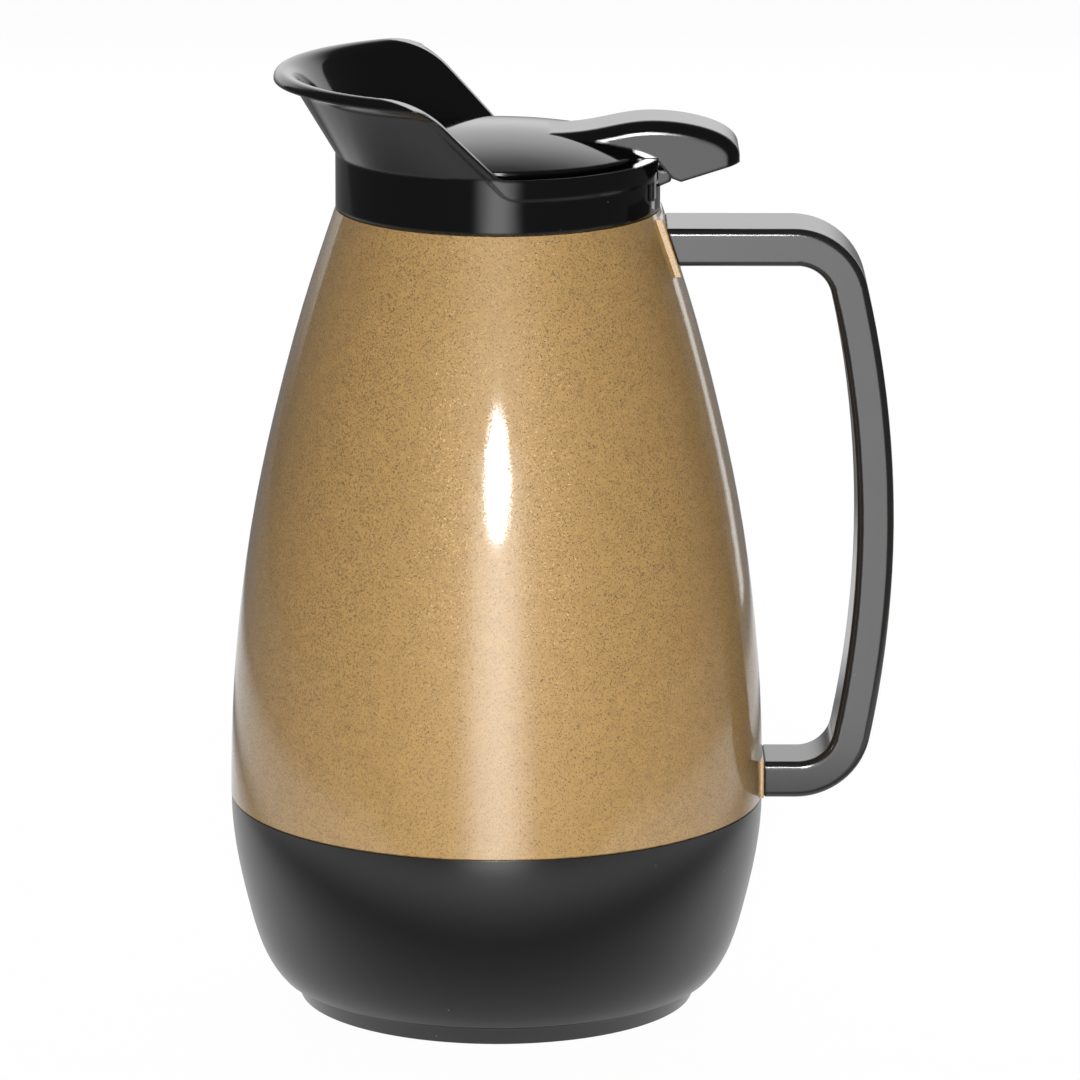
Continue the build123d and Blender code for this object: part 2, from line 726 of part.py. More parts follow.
def lever_stop():
    """Tongue behind the ring, between the lever's sides."""
    root_x = COLLAR_R - COLLAR_WALL / 2
    out_x = COLLAR_R + STOP_OUT
    low_z = PIN_Z - STOP_H
    rise = (out_x - root_x) * STOP_SLOPE
    outline = line(
        (root_x, low_z),
        (out_x, low_z + rise),
        (out_x, PIN_Z),
        (root_x, PIN_Z),
        (root_x, low_z),
    )
    tongue = slab(filled(outline), STOP_W / 2)
    back = tongue.edges().filter_by(Axis.Y).sort_by(Axis.X)[-2:]
    return fillet(back, STOP_EDGE)


def hinge_notch():
    """Room in the ring for the lid's two knuckles and for the lever above the tongue."""
    floor_z = PIN_Z - KNUCKLE_R - NOTCH_GAP
    gap = block((PIN_X - EAR_R, 2 * BEAD_R), EAR_IN_Y, (floor_z, 2 * RING_TOP_Z))
    tongue = block((COLLAR_IN_R, 2 * BEAD_R), STOP_W / 2, (0, PIN_Z))
    return gap - tongue


def pour_head():
    head = collar() + (leaned(flared_wall()) - above_rim()) + rim_bead()
    head = head - hinge_notch()
    head = head + ears() + lever_stop()
    far_end = EAR_IN_Y + EAR_W
    near_end = far_end - EAR_SKIN
    return head - across(PIN_R + PIN_FIT, -near_end, far_end + 1)


def hinge_pin():
    end_y = EAR_IN_Y + EAR_W - EAR_SKIN - SLIP
    return across(PIN_R, -end_y, end_y + EAR_SKIN)


def head_gasket():
    low_z = NECK_TOP_Z + SLIP
    out_r = COLLAR_IN_R - SLIP
    return turned(
        line(
            (NECK_BORE_R, low_z),
            (out_r, low_z),
            (out_r, low_z + GASKET_T),
            (NECK_BORE_R, low_z + GASKET_T),
            (NECK_BORE_R, low_z),
        )
    )


# ---- lid ------------------------------------------------------------------
def dome_z(r):
    """Height of the cap's dome at a radius."""
    return CAP_TOP_Z - CAP_FALL * (r / CAP_R) ** 2


def dome(depth, edge_r):
    """Upright arc from the middle out to a radius, at a depth under the dome."""
    return ThreePointArc(
        at(0, dome_z(0) - depth),
        at(edge_r / 2, dome_z(edge_r / 2) - depth),
        at(edge_r, dome_z(edge_r) - depth),
    )


def lid_cap():
    """Shallow dome over the whole ring, with a skirt below that takes the plug."""
    outer = dome(0, CAP_R - CAP_EDGE)
    ceiling = dome(CAP_WALL, SKIRT_IN_R)
    skirt_z = CAP_LOW_Z - SKIRT_DROP
    side = line(
        end_of(outer),
        (CAP_R, dome_z(CAP_R) - CAP_EDGE),
        (CAP_R, CAP_LOW_Z),
        (SKIRT_R, CAP_LOW_Z),
        (SKIRT_R, skirt_z),
        (SKIRT_IN_R, skirt_z),
        end_of(ceiling),
    )
    return turned(outer, side, ceiling, line(start_of(ceiling), start_of(outer)))


def lever_top(depth):
    """Upper line of the lever, or the same line at a depth inside it."""
    tip_x = LEVER_TIP_X - depth
    points = [
        (LEVER_ROOT_X, dome_z(LEVER_ROOT_X) - depth),
        (LEVER_CREST_X, CAP_TOP_Z + LEVER_CREST_RISE - depth),
        (tip_x - LEVER_NOSE_LEAN, LEVER_TIP_Z + LEVER_NOSE_H),
        (tip_x, LEVER_TIP_Z),
    ]
    return curve(points, (1, 0), (0.05, -1))


def on_crest(edge):
    """Whether an edge of the lever is one of its two long upper ones."""
    middle = edge @ 0.5
    return abs(middle.Y) > LEVER_W / 2 - 0.01 and middle.Z > RING_TOP_Z + LEVER_WALL


def lever():
    """Thumb lever: a hollow arm over the hinge, open underneath."""
    half = LEVER_W / 2
    root = (LEVER_ROOT_X, dome_z(LEVER_ROOT_X))
    bottom = line(
        (LEVER_TIP_X, LEVER_TIP_Z),
        (LEVER_CORNER_X, LEVER_CORNER_Z),
        (LEVER_HEEL_X, LEVER_HEEL_Z),
        (LEVER_REAR_X, LEVER_REAR_Z),
        (SKIRT_IN_R, RING_TOP_Z + LEVER_UNDER_RISE),
        (root[0], root[1] - CAP_WALL / 2),
        root,
    )
    arm = slab(filled(lever_top(0), bottom), half)
    crest = arm.edges().filter_by(GeomType.BSPLINE).filter_by(on_crest)
    arm = fillet(crest, LEVER_EDGE)
    inner_x = LEVER_TIP_X - LEVER_WALL
    below_z = FLOOR_LOW_Z
    open_side = line(
        (inner_x, LEVER_TIP_Z),
        (inner_x, below_z),
        (LEVER_ROOT_X, below_z),
        (LEVER_ROOT_X, dome_z(LEVER_ROOT_X) - LEVER_WALL),
    )
    return arm - slab(filled(lever_top(LEVER_WALL), open_side), half - LEVER_WALL)


def knuckles():
    """Plates at the lever's sides that turn on the pin."""
    half = LEVER_W / 2
    plates = across(KNUCKLE_R, -half, half)
    neck_x = (PIN_X - KNUCKLE_R, PIN_X + KNUCKLE_R)
    plates = plates + block(neck_x, half, (PIN_Z, RING_TOP_Z + KNUCKLE_NECK))
    return plates - block((0, 2 * PIN_X), half - LEVER_WALL, (FLOOR_LOW_Z, CAP_TOP_Z))


def lid():
    rear = block((CAP_REAR_X, 2 * CAP_R), 2 * CAP_R, (FLOOR_TOP_Z, CAP_TOP_Z))
    body = (lid_cap() - rear) + lever() + knuckles()
    return body - across(PIN_R + KNUCKLE_FIT, -LEVER_W, LEVER_W)


def lid_plug():
    """Hollow stopper under the lid; its collar holds the seal and grips the skirt."""
    low_z = FLOOR_TOP_Z - PLUG_DEPTH
    seal_top = SEAL_LOW_Z + SEAL_T
    shelf = seal_top + PLUG_WALL
    tip_r = PLUG_R - PLUG_TAPER
    out_r = SKIRT_IN_R - SLIP
    return turned(
        line(
            (0, low_z),
            (tip_r, low_z),
            (PLUG_R, low_z + PLUG_LEAD),
            (PLUG_R, seal_top),
            (out_r, seal_top),
            (out_r, CAP_LOW_Z),
            (out_r - PLUG_WALL, CAP_LOW_Z),
            (out_r - PLUG_WALL, shelf),
            (PLUG_R - PLUG_WALL, shelf),
            (PLUG_R - PLUG_WALL, low_z + PLUG_LEAD + PLUG_WALL / 2),
            (tip_r - PLUG_WALL, low_z + PLUG_WALL),
            (0, low_z + PLUG_WALL),
            (0, low_z),
        )
    )


def lid_seal():
    in_r = PLUG_R + SLIP
    out_r = POUR_HOLE_R + SEAL_LAND
    seal_top = SEAL_LOW_Z + SEAL_T
    return turned(
        line(
            (in_r, SEAL_LOW_Z),
            (out_r, SEAL_LOW_Z),
            (out_r, seal_top),
            (in_r, seal_top),
            (in_r, SEAL_LOW_Z),
        )
    )


# ---- files ----------------------------------------------------------------
PARTS = {
    "base_cup": base_cup,
    "base_plug": base_plug,
    "outer_shell": outer_shell,
    "liner": liner,
    "liner_support": liner_support,
    "neck_seal": neck_seal,
    "foam_insulation": foam_insulation,
    "handle": handle,
    "handle_screws": handle_screws,
    "screw_washers": screw_washers,
    "pour_head": pour_head,
    "head_gasket": head_gasket,
    "hinge_pin": hinge_pin,
    "lid": lid,
    "lid_plug": lid_plug,
    "lid_seal": lid_seal,
}

os.makedirs("parts", exist_ok=True)
for name, make in PARTS.items():
    shape = make()
    print(name, shape.is_valid, len(shape.solids()), round(shape.volume, 1))
    export_step(shape, f"parts/{name}.step")
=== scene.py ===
# %% [markdown]
# # An insulated serving carafe with a flip lid
# The carafe's solids are already made at their real size, in metres, standing on the
# origin with the handle towards +X and the spout towards -X. This lesson dresses them:
# it builds a small studio, mixes one finish for each kind of plastic, paint and metal,
# and models the fine pieces that were left for this step, such as the screw thread.

# %% Load the solids
import math
import bmesh
import bpy
from mathutils import Matrix, Vector


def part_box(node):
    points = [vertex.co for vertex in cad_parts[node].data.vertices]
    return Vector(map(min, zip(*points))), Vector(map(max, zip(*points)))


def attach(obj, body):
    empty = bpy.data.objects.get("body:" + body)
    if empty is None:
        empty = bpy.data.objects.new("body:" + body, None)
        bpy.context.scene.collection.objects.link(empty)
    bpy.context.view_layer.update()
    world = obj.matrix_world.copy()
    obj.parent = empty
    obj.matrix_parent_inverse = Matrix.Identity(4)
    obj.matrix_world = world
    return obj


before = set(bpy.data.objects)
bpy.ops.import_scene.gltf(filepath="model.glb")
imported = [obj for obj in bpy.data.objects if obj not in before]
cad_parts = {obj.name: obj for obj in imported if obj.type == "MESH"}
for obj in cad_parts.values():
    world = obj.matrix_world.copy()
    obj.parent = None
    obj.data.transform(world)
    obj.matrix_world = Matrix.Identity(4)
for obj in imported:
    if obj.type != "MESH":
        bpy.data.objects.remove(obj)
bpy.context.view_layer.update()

MM = 0.001
scene = bpy.context.scene
scene.view_settings.view_transform = "Standard"


# %% [markdown]
# ## The camera
# A long lens from two metres away keeps the carafe's sides nearly parallel, as in a
# catalogue picture. The camera stands in front, higher than the lid, and looks down by
# thirteen degrees. Its turn is built up from a yaw, a pitch and a slight roll.

# %% Camera
CAMERA_PLACE = Vector((0.0, -1.92097, 0.57319))
CAMERA_YAW = 0.00568
CAMERA_PITCH = 0.2323
CAMERA_ROLL = 0.003
LENS_MM = 257.99

camera_data = bpy.data.cameras.new("camera")
camera = bpy.data.objects.new("camera", camera_data)
scene.collection.objects.link(camera)
camera_data.lens = LENS_MM
camera_data.sensor_width = 36.0
camera_data.clip_end = 50.0
camera_turn = (
    Matrix.Rotation(-CAMERA_YAW, 4, "Z")
    @ Matrix.Rotation(math.pi / 2 - CAMERA_PITCH, 4, "X")
    @ Matrix.Rotation(CAMERA_ROLL, 4, "Z")
)
camera.matrix_world = Matrix.Translation(CAMERA_PLACE) @ camera_turn
scene.camera = camera
print("camera looks down by", round(math.degrees(CAMERA_PITCH), 1), "degrees")


# %% [markdown]
# ## Small helpers for node trees
# A finish is a little network of nodes. These helpers add a node with its settings,
# and join two sockets, so that each material below reads as a short recipe.

# %% Helpers for finishes
def add(tree, kind, **settings):
    """A new node of a kind; its settings name properties or input sockets."""
    node = tree.nodes.new(kind)
    for name, value in settings.items():
        if hasattr(node, name):
            setattr(node, name, value)
        else:
            node.inputs[name.replace("_", " ").title()].default_value = value
    return node


def join(tree, start, end):
    tree.links.new(start, end)


def new_finish(name):
    """A material with one Principled shader, and its tree and shader."""
    material = bpy.data.materials.new(name)
    material.use_nodes = True
    tree = material.node_tree
    shader = tree.nodes["Principled BSDF"]
    return material, tree, shader


def ramp(tree, source, stops):
    """A colour ramp over a 0 to 1 source; stops are (position, colour) pairs."""
    node = tree.nodes.new("ShaderNodeValToRGB")
    elements = node.color_ramp.elements
    while len(elements) < len(stops):
        elements.new(0.5)
    for element, (position, colour) in zip(elements, stops):
        element.position = position
        element.color = (*colour, 1.0)
    join(tree, source, node.inputs["Fac"])
    return node


def grey(value):
    return (value, value, value)


def object_place(tree):
    """Coordinates fixed to the piece, in metres."""
    return tree.nodes.new("ShaderNodeTexCoord").outputs["Object"]


def calculate(tree, operation, first, second=None):
    """A Math node; each input is a socket or a number."""
    node = add(tree, "ShaderNodeMath", operation=operation)
    for socket, value in zip(node.inputs, (first, second)):
        if isinstance(value, (int, float)):
            socket.default_value = value
        elif value is not None:
            join(tree, value, socket)
    return node.outputs[0]


print("helpers ready")


# %% [markdown]
# ## The floor
# The carafe stands on a small pale table. To the camera it glows an even white, so the
# picture's ground stays clean, and a share of plain matt white is kept so that the foot
# still drops a soft shadow. To glossy rays the table glows with painted light instead: a
# ramp by distance from a point behind the carafe paints bright and dark rings, and these
# show on the carafe as painted reflections.

# %% Floor
FLOOR_HALF_WIDTH = 0.9
FLOOR_FRONT_Y = -0.21
FLOOR_BACK_Y = 1.9
SHADOW_SHARE = 0.06
TABLE_TO_CAMERA = 1.035
# Painted light: how brightly the floor glows to glossy rays, in rings by distance from the point
# behind the carafe.
PAINTED_GLOW_IN_GLOSS = [(0.0, 0.85), (0.17, 0.85), (0.22, 0.15), (0.27, 0.85), (0.36, 0.8), (0.44, 0.2)]
GLOSS_MIDDLE = Vector((0.0, 0.12, 0.0))
GLOSS_REACH = 0.6

bpy.ops.object.select_all(action="DESELECT")
bpy.ops.mesh.primitive_plane_add(size=2.0)
floor = bpy.context.object
floor.name = "floor"
for vertex in floor.data.vertices:
    vertex.co.x = math.copysign(FLOOR_HALF_WIDTH, vertex.co.x)
    vertex.co.y = FLOOR_FRONT_Y if vertex.co.y < 0 else FLOOR_BACK_Y

floor_finish, tree, shader = new_finish("pale_floor")
shader.inputs["Base Color"].default_value = (*grey(0.85), 1.0)
shader.inputs["Roughness"].default_value = 0.6
path = tree.nodes.new("ShaderNodeLightPath")
to_camera = calculate(tree, "MULTIPLY", path.outputs["Is Camera Ray"], 1.0 - SHADOW_SHARE)
share = calculate(tree, "MAXIMUM", to_camera, path.outputs["Is Glossy Ray"])
apart = add(tree, "ShaderNodeVectorMath", operation="DISTANCE")
join(tree, object_place(tree), apart.inputs[0])
apart.inputs[1].default_value = GLOSS_MIDDLE
share_of_reach = calculate(tree, "DIVIDE", apart.outputs["Value"], GLOSS_REACH)
# Painted reflection: the rings of glow that glossy rays see on the floor.
stops = [(spot / GLOSS_REACH, grey(level)) for spot, level in PAINTED_GLOW_IN_GLOSS]
table = ramp(tree, share_of_reach, stops)
strength = tree.nodes.new("ShaderNodeMix")
join(tree, path.outputs["Is Glossy Ray"], strength.inputs["Factor"])
strength.inputs["A"].default_value = TABLE_TO_CAMERA
join(tree, table.outputs["Color"], strength.inputs["B"])
glow = tree.nodes.new("ShaderNodeEmission")
join(tree, strength.outputs["Result"], glow.inputs["Strength"])
blend = tree.nodes.new("ShaderNodeMixShader")
join(tree, share, blend.inputs["Fac"])
join(tree, shader.outputs[0], blend.inputs[1])
join(tree, glow.outputs[0], blend.inputs[2])
join(tree, blend.outputs[0], tree.nodes["Material Output"].inputs["Surface"])
floor.data.materials.append(floor_finish)
print("floor:", floor.dimensions[:2])


# %% [markdown]
# ## The room
# The room is white where the camera looks straight at it and nearly dark otherwise:
# gloss black plastic shows every light as a mirror would, and a dark room keeps its
# front black between the few bright shapes that the lamps put there.

# %% Room
ROOM_DIM = 0.10

world = bpy.data.worlds.new("room")
world.use_nodes = True
scene.world = world
tree = world.node_tree
background = tree.nodes["Background"]
background.inputs["Color"].default_value = (1.0, 1.0, 1.0, 1.0)
path = tree.nodes.new("ShaderNodeLightPath")
seen = calculate(tree, "MAXIMUM", path.outputs["Is Camera Ray"], path.outputs["Is Transmission Ray"])
level = tree.nodes.new("ShaderNodeMapRange")
level.inputs["To Min"].default_value = ROOM_DIM
level.inputs["To Max"].default_value = 1.0
join(tree, seen, level.inputs["Value"])
join(tree, level.outputs["Result"], background.inputs["Strength"])
print("room set")


# %% [markdown]
# ## The lamps
# Four soft lamps do the work. An oval softbox beside the camera lights the whole front
# and puts the tall white highlight on the belly. A tall, much weaker card under it gives
# the pale stripe down the middle, and an even grey on flat sides that face the camera.
# A broad white panel behind rims the outlines, and a small card to the right of it draws
# a brighter line down the handle's side. Real softboxes are brightest in their middle and
# fade towards the rim, which is what gives a highlight its soft edge, so a lamp's
# strength fades from its middle by the lamp's own parametric coordinates.

# %% Lamps
def lamp(name, place, size, brightness, aim, soft=None, shape="RECTANGLE"):
    """A soft lamp whose face has a given brightness; soft says how far it fades."""
    data = bpy.data.lights.new(name, "AREA")
    data.shape = shape
    data.size, data.size_y = size
    area = size[0] * size[1]
    if shape == "ELLIPSE":
        area = area * math.pi / 4
    data.energy = brightness * math.pi * area
    if soft:
        fade(data, *soft)
    lamp_object = bpy.data.objects.new(name, data)
    scene.collection.objects.link(lamp_object)
    direction = Vector(aim) - Vector(place)
    lamp_object.location = place
    lamp_object.rotation_euler = direction.to_track_quat("-Z", "Y").to_euler()
    lamp_object.visible_camera = False
    print("lamp", name, "watts", round(data.energy, 2))


def fade(data, across, upward, start, power=1.0):
    """Fades a lamp from its middle: across and upward weigh the two directions, start is
    where the fade begins and a higher power makes it steeper near the middle."""
    data.use_nodes = True
    tree = data.node_tree
    emission = tree.nodes["Emission"]
    where = tree.nodes.new("ShaderNodeNewGeometry").outputs["Parametric"]
    centred = add(tree, "ShaderNodeVectorMath", operation="SUBTRACT")
    centred.inputs[1].default_value = (0.5, 0.5, 0.0)
    join(tree, where, centred.inputs[0])
    weighted = add(tree, "ShaderNodeVectorMath", operation="MULTIPLY")
    weighted.inputs[1].default_value = (2 * across, 2 * upward, 0.0)
    join(tree, centred.outputs[0], weighted.inputs[0])
    reach = add(tree, "ShaderNodeVectorMath", operation="LENGTH")
    join(tree, weighted.outputs[0], reach.inputs[0])
    slope = add(tree, "ShaderNodeMapRange", interpolation_type="SMOOTHSTEP")
    slope.inputs["From Min"].default_value = start
    slope.inputs["From Max"].default_value = 1.0
    slope.inputs["To Min"].default_value = 1.0
    slope.inputs["To Max"].default_value = 0.0
    join(tree, reach.outputs["Value"], slope.inputs["Value"])
    level = calculate(tree, "POWER", slope.outputs["Result"], power)
    join(tree, level, emission.inputs["Strength"])


BODY_MIDDLE = (0, 0, 0.12)
lamp("softbox", (0.0, -1.95, 0.575), (0.56, 0.42), 216.0, BODY_MIDDLE, (1, 1, 0, 2), "ELLIPSE")
lamp("tall_card", (0.0, -1.96, -0.2), (1.4, 1.8), 3.5, BODY_MIDDLE, (1, 0.4, 0.05))
lamp("back_panel", (0.0, 1.25, 0.6), (2.4, 1.4), 1.3, BODY_MIDDLE, (0.2, 1, 0.2))
lamp("side_card", (0.40, 0.5, 0.125), (0.12, 0.25), 1.4, BODY_MIDDLE, (1, 0.3, 0.3))


# %% [markdown]
# ## Gold metallic paint
# The shell wears a car-like paint: gold pigment with tiny metal flakes under a clear,
# glossy coat. A Voronoi pattern cuts the surface into cells a quarter of a millimetre
# wide and gives each a random colour. One cell in four becomes a flake: it turns darker
# and partly metallic, and its random colour tips its normal, so that it mirrors the lamp
# or the dark room by chance. That gives specks where the light is strong and a quiet grain
# at the sides. The clear coat above dips a little over each cell, which frays the edge of
# a highlight as a sprayed coat does.

# %% Gold paint
GOLD = (0.63, 0.378, 0.128)
FLAKES_PER_METRE = 4400.0
FLAKE_SHARE = 0.26
FLAKE_METAL = 0.55
FLAKE_TILT = 0.55
FLAKE_TONE = (0.30, 0.21, 0.12)
FLAKE_OWN_TONE = 0.6
COAT_TILT = 0.03
CLOUDS_PER_METRE = 260.0
CLOUD_DARKENING = 0.9
PAINT_ROUGHNESS = 0.48
PAINT_SPECULAR = 0.5
COAT_ROUGHNESS = 0.055
COAT_IOR = 1.65


def tipped_normal(tree, tilt):
    """The surface's normal, tipped by a tilt vector."""
    geometry = tree.nodes.new("ShaderNodeNewGeometry")
    tipped = add(tree, "ShaderNodeVectorMath", operation="ADD")
    join(tree, geometry.outputs["Normal"], tipped.inputs[0])
    join(tree, tilt, tipped.inputs[1])
    facing = add(tree, "ShaderNodeVectorMath", operation="NORMALIZE")
    join(tree, tipped.outputs[0], facing.inputs[0])
    return facing.outputs[0]


def scaled(tree, vector, factor):
    """A vector times a factor, which is a socket or a number."""
    node = add(tree, "ShaderNodeVectorMath", operation="SCALE")
    join(tree, vector, node.inputs[0])
    if isinstance(factor, float):
        node.inputs["Scale"].default_value = factor
    else:
        join(tree, factor, node.inputs["Scale"])
    return node.outputs[0]


def gold_paint():
    material, tree, shader = new_finish("gold_paint")
    place = object_place(tree)
    cells = add(tree, "ShaderNodeTexVoronoi", feature="F1", Scale=FLAKES_PER_METRE)
    join(tree, place, cells.inputs["Vector"])
    chance = add(tree, "ShaderNodeSeparateColor")
    join(tree, cells.outputs["Color"], chance.inputs[0])
    is_flake = calculate(tree, "LESS_THAN", chance.outputs["Blue"], FLAKE_SHARE)
    join(tree, calculate(tree, "MULTIPLY", is_flake, FLAKE_METAL), shader.inputs["Metallic"])

    centred = add(tree, "ShaderNodeVectorMath", operation="SUBTRACT")
    centred.inputs[1].default_value = grey(0.5)
    join(tree, cells.outputs["Color"], centred.inputs[0])
    flat = add(tree, "ShaderNodeVectorMath", operation="MULTIPLY")
    flat.inputs[1].default_value = (1.0, 1.0, 0.0)
    join(tree, centred.outputs[0], flat.inputs[0])
    flake_tilt = calculate(tree, "MULTIPLY", is_flake, FLAKE_TILT)
    tilt = scaled(tree, flat.outputs[0], flake_tilt)
    join(tree, tipped_normal(tree, tilt), shader.inputs["Normal"])
    dimple = scaled(tree, flat.outputs[0], COAT_TILT)
    join(tree, tipped_normal(tree, dimple), shader.inputs["Coat Normal"])

    cloud = add(tree, "ShaderNodeTexNoise", Scale=CLOUDS_PER_METRE, Detail=3.0)
    join(tree, place, cloud.inputs["Vector"])
    dark = tuple(value * CLOUD_DARKENING for value in GOLD)
    pigment = ramp(tree, cloud.outputs["Fac"], [(0.3, dark), (0.7, GOLD)])
    tone = add(tree, "ShaderNodeMix", data_type="RGBA")
    join(tree, calculate(tree, "MULTIPLY", is_flake, FLAKE_OWN_TONE), tone.inputs["Factor"])
    join(tree, pigment.outputs["Color"], tone.inputs[6])
    tone.inputs[7].default_value = (*FLAKE_TONE, 1.0)
    join(tree, tone.outputs[2], shader.inputs["Base Color"])
    shader.inputs["Roughness"].default_value = PAINT_ROUGHNESS
    shader.inputs["Specular IOR Level"].default_value = PAINT_SPECULAR
    shader.inputs["Coat Weight"].default_value = 1.0
    shader.inputs["Coat Roughness"].default_value = COAT_ROUGHNESS
    shader.inputs["Coat IOR"].default_value = COAT_IOR
    return material


gold = gold_paint()
print(gold.name, "with", len(gold.node_tree.nodes), "nodes")


# %% [markdown]
# ## Black and charcoal plastic
# Head, lid and handle are moulded from black plastic. The head and the lid come out of a
# polished mould; the handle's mould is a little matt, and the base cup is charcoal. A
# slow ripple in the surface bends the reflections slightly, as sink marks do, and a few
# pale dust specks sit on it. Moulded edges are never knife-sharp, so a Bevel node rounds
# the shading of each edge by a fraction of a millimetre.

# %% Moulded plastic
SPECKS_PER_METRE = 330.0
SPECK_SHARE = 0.16
SPECK_SIZE = 0.055
DUST = (0.30, 0.28, 0.25)
RIPPLES_PER_METRE = 90.0
RIPPLE_STRENGTH = 0.02
EDGE_SAMPLES = 6


def specks(tree, place):
    """1 inside a few tiny round dots and 0 elsewhere."""
    cells = add(tree, "ShaderNodeTexVoronoi", feature="F1", Scale=SPECKS_PER_METRE)
    join(tree, place, cells.inputs["Vector"])
    chance = add(tree, "ShaderNodeSeparateColor")
    join(tree, cells.outputs["Color"], chance.inputs[0])
    chosen = calculate(tree, "LESS_THAN", chance.outputs["Red"], SPECK_SHARE)
    size = calculate(tree, "MULTIPLY", chance.outputs["Green"], SPECK_SIZE)
    inside = calculate(tree, "LESS_THAN", cells.outputs["Distance"], size)
    return calculate(tree, "MULTIPLY", chosen, inside)


def moulded(name, shade, roughness, edge, ior=1.5):
    """Moulded plastic; edge is the radius by which its edges look rounded."""
    material, tree, shader = new_finish(name)
    place = object_place(tree)
    rounded = add(tree, "ShaderNodeBevel", samples=EDGE_SAMPLES)
    rounded.inputs["Radius"].default_value = edge
    ripple = add(tree, "ShaderNodeTexNoise", Scale=RIPPLES_PER_METRE, Detail=2.0)
    join(tree, place, ripple.inputs["Vector"])
    bump = add(tree, "ShaderNodeBump", Strength=RIPPLE_STRENGTH, Distance=1.0 * MM)
    join(tree, ripple.outputs["Fac"], bump.inputs["Height"])
    join(tree, rounded.outputs["Normal"], bump.inputs["Normal"])
    join(tree, bump.outputs["Normal"], shader.inputs["Normal"])
    dust = ramp(tree, specks(tree, place), [(0.0, shade), (1.0, DUST)])
    join(tree, dust.outputs["Color"], shader.inputs["Base Color"])
    shader.inputs["Roughness"].default_value = roughness
    shader.inputs["IOR"].default_value = ior
    return material


gloss_black = moulded("gloss_black", (0.004, 0.004, 0.0045), 0.07, 1.2 * MM)
handle_black = moulded("handle_black", (0.018, 0.017, 0.0165), 0.16, 0.5 * MM, ior=1.62)
charcoal = moulded("charcoal_plastic", (0.005, 0.005, 0.0052), 0.25, 0.4 * MM, ior=1.6)
print("plastics:", gloss_black.name, handle_black.name, charcoal.name)


# %% [markdown]
# ## The hidden materials
# Inside are an off-white moulded liner, straw-coloured foam, milky silicone seals and
# plain steel. Each gets its own grain: the foam has open pores, the silicone a cloudy
# skin, the liner a faint ripple, and the steel fine turning marks round its surface.

# %% Liner, foam, silicone and steel
def grained(name, dark, light, scale, roughness, bump_strength, metallic=0.0, stretch=None):
    """A finish whose colour and height follow the same noise."""
    material, tree, shader = new_finish(name)
    place = object_place(tree)
    if stretch:
        squeeze = add(tree, "ShaderNodeMapping")
        squeeze.inputs["Scale"].default_value = stretch
        join(tree, place, squeeze.inputs["Vector"])
        place = squeeze.outputs["Vector"]
    noise = add(tree, "ShaderNodeTexNoise", Scale=scale, Detail=4.0)
    join(tree, place, noise.inputs["Vector"])
    tone = ramp(tree, noise.outputs["Fac"], [(0.35, dark), (0.65, light)])
    join(tree, tone.outputs["Color"], shader.inputs["Base Color"])
    bump = add(tree, "ShaderNodeBump", Strength=bump_strength, Distance=0.5 * MM)
    join(tree, noise.outputs["Fac"], bump.inputs["Height"])
    join(tree, bump.outputs["Normal"], shader.inputs["Normal"])
    shader.inputs["Roughness"].default_value = roughness
    shader.inputs["Metallic"].default_value = metallic
    return material


liner_white = grained("liner_white", (0.72, 0.71, 0.68), (0.80, 0.79, 0.76), 60.0, 0.3, 0.05)
foam = grained("foam", (0.62, 0.50, 0.28), (0.84, 0.74, 0.48), 700.0, 0.9, 0.8)
silicone = grained("silicone", (0.46, 0.46, 0.45), (0.56, 0.56, 0.55), 150.0, 0.5, 0.1)
steel = grained("steel", grey(0.5), grey(0.68), 900.0, 0.25, 0.1, 1.0, (1.0, 1.0, 6.0))
print("hidden:", liner_white.name, foam.name, silicone.name, steel.name)


# %% [markdown]
# ## A finish for each solid
# Every solid carries one material slot. The shell is sprayed, and everything else keeps
# the colour of the plastic, rubber or metal that it is made of, so one finish each is
# enough.

# %% Give each solid its finish
FINISHES = {
    "outer_shell": gold,
    "base_cup": charcoal,
    "base_plug": charcoal,
    "handle": handle_black,
    "pour_head": gloss_black,
    "lid": gloss_black,
    "lid_plug": gloss_black,
    "liner_support": gloss_black,
    "liner": liner_white,
    "foam_insulation": foam,
    "neck_seal": silicone,
    "head_gasket": silicone,
    "lid_seal": silicone,
    "handle_screws": steel,
    "screw_washers": steel,
    "hinge_pin": steel,
}
for name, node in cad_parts.items():
    node.data.materials.clear()
    node.data.materials.append(FINISHES[name])
print("finished", len(FINISHES), "nodes")


# %% [markdown]
# ## The screw threads
# The head screws into the liner's neck on one coarse thread. Each ridge starts as a flat
# four-sided profile that stands upright on the cylinder; its outer edge is drawn in, and
# a Screw modifier sweeps it up round the axis. The ridge in the neck is the same profile
# turned inwards, half a pitch lower, so that the two ridges pass each other as the head
# climbs by one pitch a turn.

# %% Threads on the stem and in the neck
PITCH = 8.0 * MM
THREAD_TURNS = 1.2
THREAD_STEPS = 80
THREAD_BELOW_RIM = 12.0 * MM
THREAD_DEPTH = 0.95 * MM
RIDGE_HEIGHT = 2.2 * MM
CREST_SHARE = 0.36
SINK = 0.15 * MM
NECK_BORE_R = 34.7 * MM
STEM_R = 33.3 * MM
SMOOTH_BELOW = math.radians(30)


def select_where(mesh_object, chosen):
    """Selects the vertices of the edited mesh for which chosen(place) holds."""
    bpy.ops.mesh.select_all(action="DESELECT")
    mesh = bmesh.from_edit_mesh(mesh_object.data)
    for vertex in mesh.verts:
        vertex.select = chosen(vertex.co)
    mesh.select_flush_mode()
    bmesh.update_edit_mesh(mesh_object.data)


def use_modifier(mesh_object, kind, **settings):
    """Adds a modifier with its settings and applies it at once."""
    modifier = mesh_object.modifiers.new(kind.lower(), kind)
    for name, value in settings.items():
        setattr(modifier, name, value)
    bpy.ops.object.modifier_apply(modifier=modifier.name)


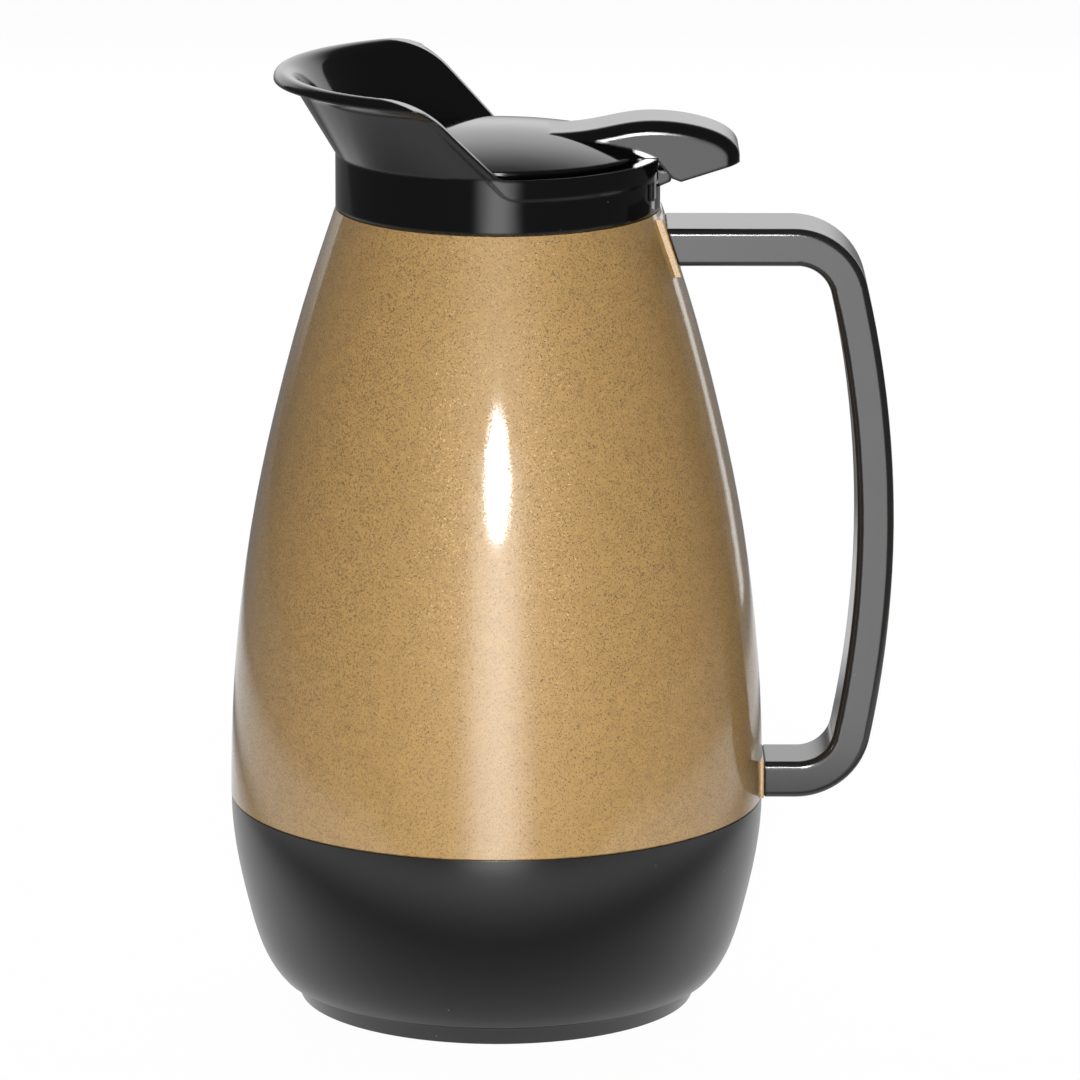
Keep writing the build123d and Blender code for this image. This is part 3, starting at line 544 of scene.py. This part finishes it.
def thread(name, root_r, crest_r, low_z, body, finish):
    """One ridge that climbs from low_z, with its root and its crest at two radii."""
    bpy.ops.object.select_all(action="DESELECT")
    middle_r = (root_r + crest_r) / 2
    place = (middle_r, 0, low_z)
    bpy.ops.mesh.primitive_plane_add(size=1.0, location=place, rotation=(math.pi / 2, 0, 0))
    ridge = bpy.context.object
    ridge.name = name
    ridge.scale = (abs(crest_r - root_r), RIDGE_HEIGHT, 1.0)
    bpy.ops.object.transform_apply(location=True, rotation=True, scale=True)
    bpy.ops.object.mode_set(mode="EDIT")
    outward = crest_r > root_r
    select_where(ridge, lambda co: (co.x > middle_r) == outward)
    bpy.ops.transform.resize(value=(1, 1, CREST_SHARE), center_override=(crest_r, 0, low_z))
    bpy.ops.object.mode_set(mode="OBJECT")
    use_modifier(
        ridge,
        "SCREW",
        angle=2 * math.pi * THREAD_TURNS,
        screw_offset=PITCH * THREAD_TURNS,
        steps=THREAD_STEPS,
        render_steps=THREAD_STEPS,
    )
    bpy.ops.object.mode_set(mode="EDIT")
    bpy.ops.mesh.select_all(action="SELECT")
    bpy.ops.mesh.fill_holes(sides=4)
    bpy.ops.mesh.normals_make_consistent(inside=False)
    bpy.ops.object.mode_set(mode="OBJECT")
    bpy.ops.object.shade_smooth_by_angle(angle=SMOOTH_BELOW)
    ridge.data.materials.append(finish)
    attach(ridge, body)
    heights = [vertex.co.z for vertex in ridge.data.vertices]
    print(name, "from", round(min(heights), 4), "to", round(max(heights), 4))


liner_low, liner_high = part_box("liner")
stem_z = liner_high[2] - THREAD_BELOW_RIM
neck_z = stem_z - PITCH / 2
thread("stem_thread", STEM_R - SINK, STEM_R + THREAD_DEPTH, stem_z, "head", gloss_black)
thread("neck_thread", NECK_BORE_R + SINK, NECK_BORE_R - THREAD_DEPTH, neck_z, "body", liner_white)


# %% [markdown]
# ## The rib between the knuckles
# A low rib joins the lid's two knuckles just above the pin. It stiffens the lever and
# closes the slot that would otherwise show daylight under it. A cube is drawn to size,
# and a bevel takes its edges off, as the mould would. The pin's middle places it.

# %% Knuckle rib
RIB_SIZE = (2.0 * MM, 18.6 * MM, 4.2 * MM)
RIB_BEHIND_PIN = -1.2 * MM
RIB_ABOVE_PIN = 3.4 * MM
RIB_EDGE = 0.4 * MM
PIN_DECIMALS = 4  # of a metre, so to a tenth of a millimetre

pin_low, pin_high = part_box("hinge_pin")
pin_x = round((pin_low[0] + pin_high[0]) / 2, PIN_DECIMALS)
pin_z = round((pin_low[2] + pin_high[2]) / 2, PIN_DECIMALS)
rib_place = (pin_x + RIB_BEHIND_PIN, 0, pin_z + RIB_ABOVE_PIN)
bpy.ops.object.select_all(action="DESELECT")
bpy.ops.mesh.primitive_cube_add(size=1.0, location=rib_place)
rib = bpy.context.object
rib.name = "knuckle_rib"
rib.scale = RIB_SIZE
bpy.ops.object.transform_apply(location=True, rotation=True, scale=True)
use_modifier(rib, "BEVEL", width=RIB_EDGE, segments=3)
bpy.ops.object.shade_smooth_by_angle(angle=SMOOTH_BELOW)
rib.data.materials.append(gloss_black)
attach(rib, "lid")
print("rib", [round(side / MM, 1) for side in rib.dimensions], "mm")


# %% [markdown]
# ## The end
# The dressing is complete, and the last cell says so.

# %% Done
print("dressing done")
